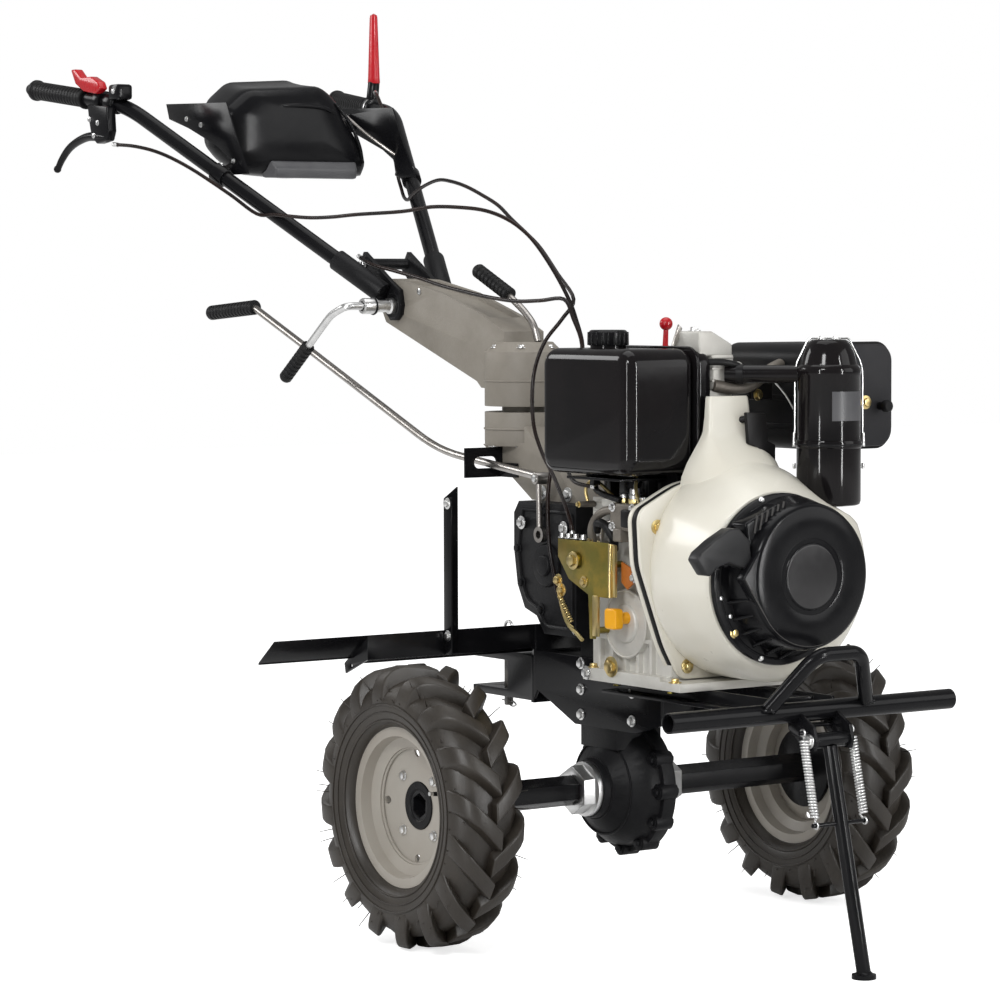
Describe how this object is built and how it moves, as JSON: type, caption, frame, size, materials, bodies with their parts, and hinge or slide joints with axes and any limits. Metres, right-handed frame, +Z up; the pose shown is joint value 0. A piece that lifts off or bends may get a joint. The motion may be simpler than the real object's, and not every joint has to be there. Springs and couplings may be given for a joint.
{
  "type": "power tiller",
  "caption": "Walk-behind power tiller with a diesel engine over a two-wheel axle, swivelling and tilting handlebar, rear hitch, fenders and a folding front stand.",
  "frame": {"origin": "centre of the parked machine's footprint box, on the ground", "axes": "+X forward from the grips to the stand's foot, +Y to the machine's left, +Z up"},
  "size_m": [1.8705, 1.02, 1.4426],
  "materials": {
    "black_paint": "gloss black paint on steel",
    "black_casting": "semi-gloss black paint on a casting",
    "grey_casting": "warm grey paint on a rough casting",
    "raw_aluminium": "as-cast aluminium",
    "white_paint": "satin off-white paint on sheet steel",
    "rim_paint": "satin warm grey paint",
    "tyre": "matt rubber",
    "black_rubber": "matt rubber",
    "black_plastic": "fine-textured moulded plastic",
    "red_plastic": "glossy moulded plastic",
    "yellow_plastic": "glossy moulded plastic",
    "zinc_yellow": "yellow zinc plating",
    "bright_steel": "bright zinc plating",
    "dark_steel": "oiled dark steel"
  },
  "bodies": {
    "chassis": {"gear_case": "black_casting", "axle_nuts": "bright_steel", "frame": "black_paint", "gearbox": "black_casting", "column_base": "grey_casting", "crankcase": "raw_aluminium", "cylinder_head": "raw_aluminium", "fan_shroud": "white_paint", "recoil_starter": "black_plastic", "fuel_tank": "black_paint", "tank_bracket": "black_paint", "fuel_cap": "black_plastic", "muffler": "black_paint", "air_cleaner": "black_paint", "governor_plate": "zinc_yellow", "injection_pump": "raw_aluminium", "oil_filler": "yellow_plastic", "decompression_lever": "red_plastic", "bumper": "black_paint", "stand_bracket": "black_paint", "stand_springs": "bright_steel", "fender_left": "black_paint", "fender_right": "black_paint", "fender_post": "black_paint", "hitch": "black_paint", "hitch_pin": "dark_steel", "shift_rod": "bright_steel", "shift_gate": "black_paint", "clutch_cable": "black_rubber", "throttle_cable": "black_rubber", "stop_cable": "black_rubber"},
    "wheels": {"axle_shaft": "dark_steel", "hub_left": "black_paint", "hub_right": "black_paint", "rim_left": "rim_paint", "rim_right": "rim_paint", "tyre_left": "tyre", "tyre_right": "tyre"},
    "column": {"column_arm": "grey_casting", "gear_lever": "bright_steel"},
    "handlebar": {"yoke": "black_casting", "handle_tubes": "black_paint", "grips": "black_rubber", "dash_frame": "black_paint", "dash_cover": "black_plastic", "clamp_crank": "bright_steel", "clutch_lever": "black_paint", "thumb_lever": "red_plastic", "stop_lever": "red_plastic"},
    "stand": {"stand_leg": "black_paint"}
  },
  "joints": [
    {"name": "wheel_spin", "type": "hinge", "parent": "chassis", "child": "wheels", "pos_m": [0.3575, 0, 0.206], "axis": [0, 1, 0], "continuous": true},
    {"name": "column_swivel", "type": "hinge", "parent": "chassis", "child": "column", "pos_m": [0.1075, 0, 0.771], "axis": [0, 0, 1], "range_deg": [-4, 30]},
    {"name": "handle_tilt", "type": "hinge", "parent": "column", "child": "handlebar", "pos_m": [-0.1925, 0, 0.925], "axis": [0, 1, 0], "range_deg": [-18, 12], "deforming": ["clutch_cable", "throttle_cable", "stop_cable"]},
    {"name": "stand_fold", "type": "hinge", "parent": "chassis", "child": "stand", "pos_m": [0.8415, 0, 0.324], "axis": [0, 1, 0], "range_deg": [0, 95], "deforming": ["stand_springs"]}
  ]
}
